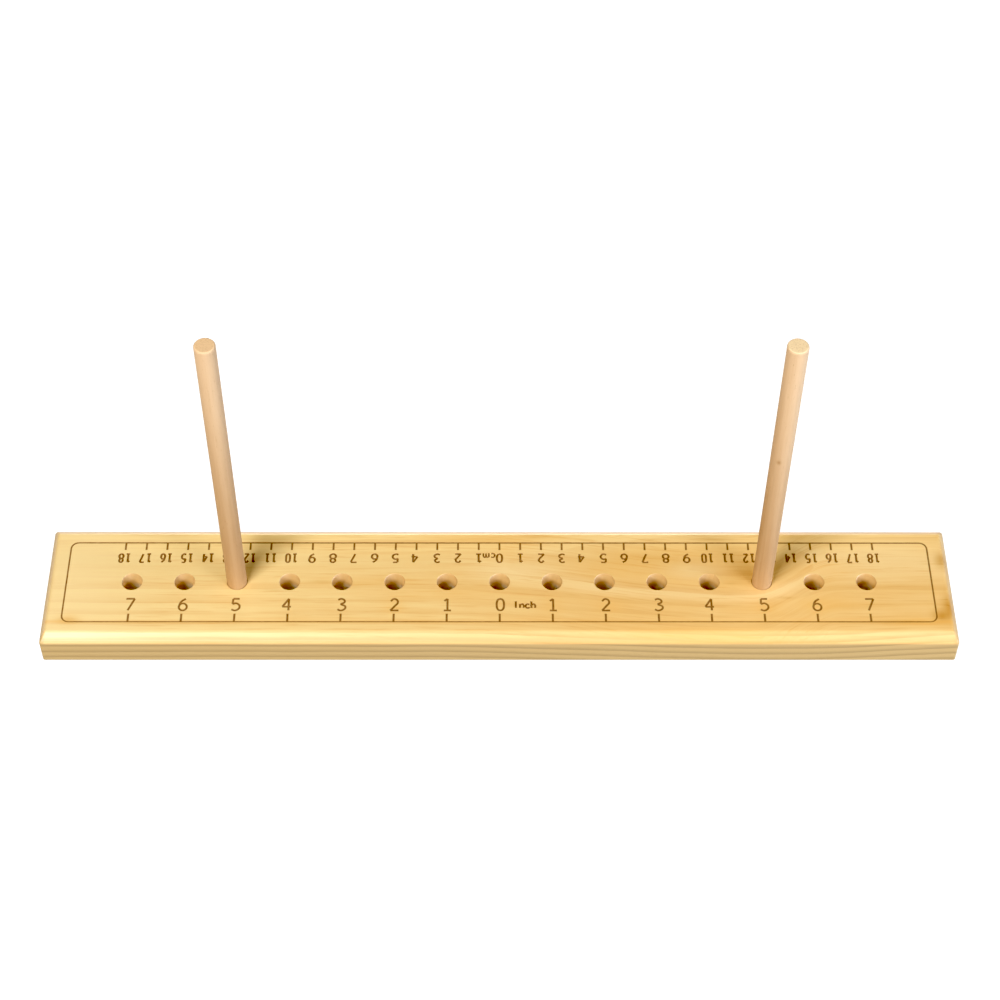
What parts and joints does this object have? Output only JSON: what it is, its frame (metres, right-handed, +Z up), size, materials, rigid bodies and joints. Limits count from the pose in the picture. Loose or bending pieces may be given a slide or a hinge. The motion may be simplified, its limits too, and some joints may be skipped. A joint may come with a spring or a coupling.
{
  "type": "winding peg board",
  "caption": "Long bevelled wooden board with a row of drilled holes, burnt inch and centimetre scales and upright dowel pegs that lift out, for winding yarn or ribbon to length.",
  "frame": {"origin": "middle of the board's underside, below the middle hole", "axes": "+X along the row of holes to the right-hand peg, +Y from the inch scale to the centimetre scale, +Z up along the pegs"},
  "size_m": [0.432, 0.0666, 0.183],
  "materials": {
    "pine_board": "sanded, unvarnished",
    "dowel": "sanded, unvarnished"
  },
  "bodies": {
    "board": {"base_board": "pine_board"},
    "left_peg": {"left_peg": "dowel"},
    "right_peg": {"right_peg": "dowel"}
  },
  "joints": [
    {"name": "left_peg_lift", "type": "slide", "parent": "board", "child": "left_peg", "axis": [0, 0, 1], "range_m": [0, 0.03]},
    {"name": "right_peg_lift", "type": "slide", "parent": "board", "child": "right_peg", "axis": [0, 0, 1], "range_m": [0, 0.03]}
  ]
}
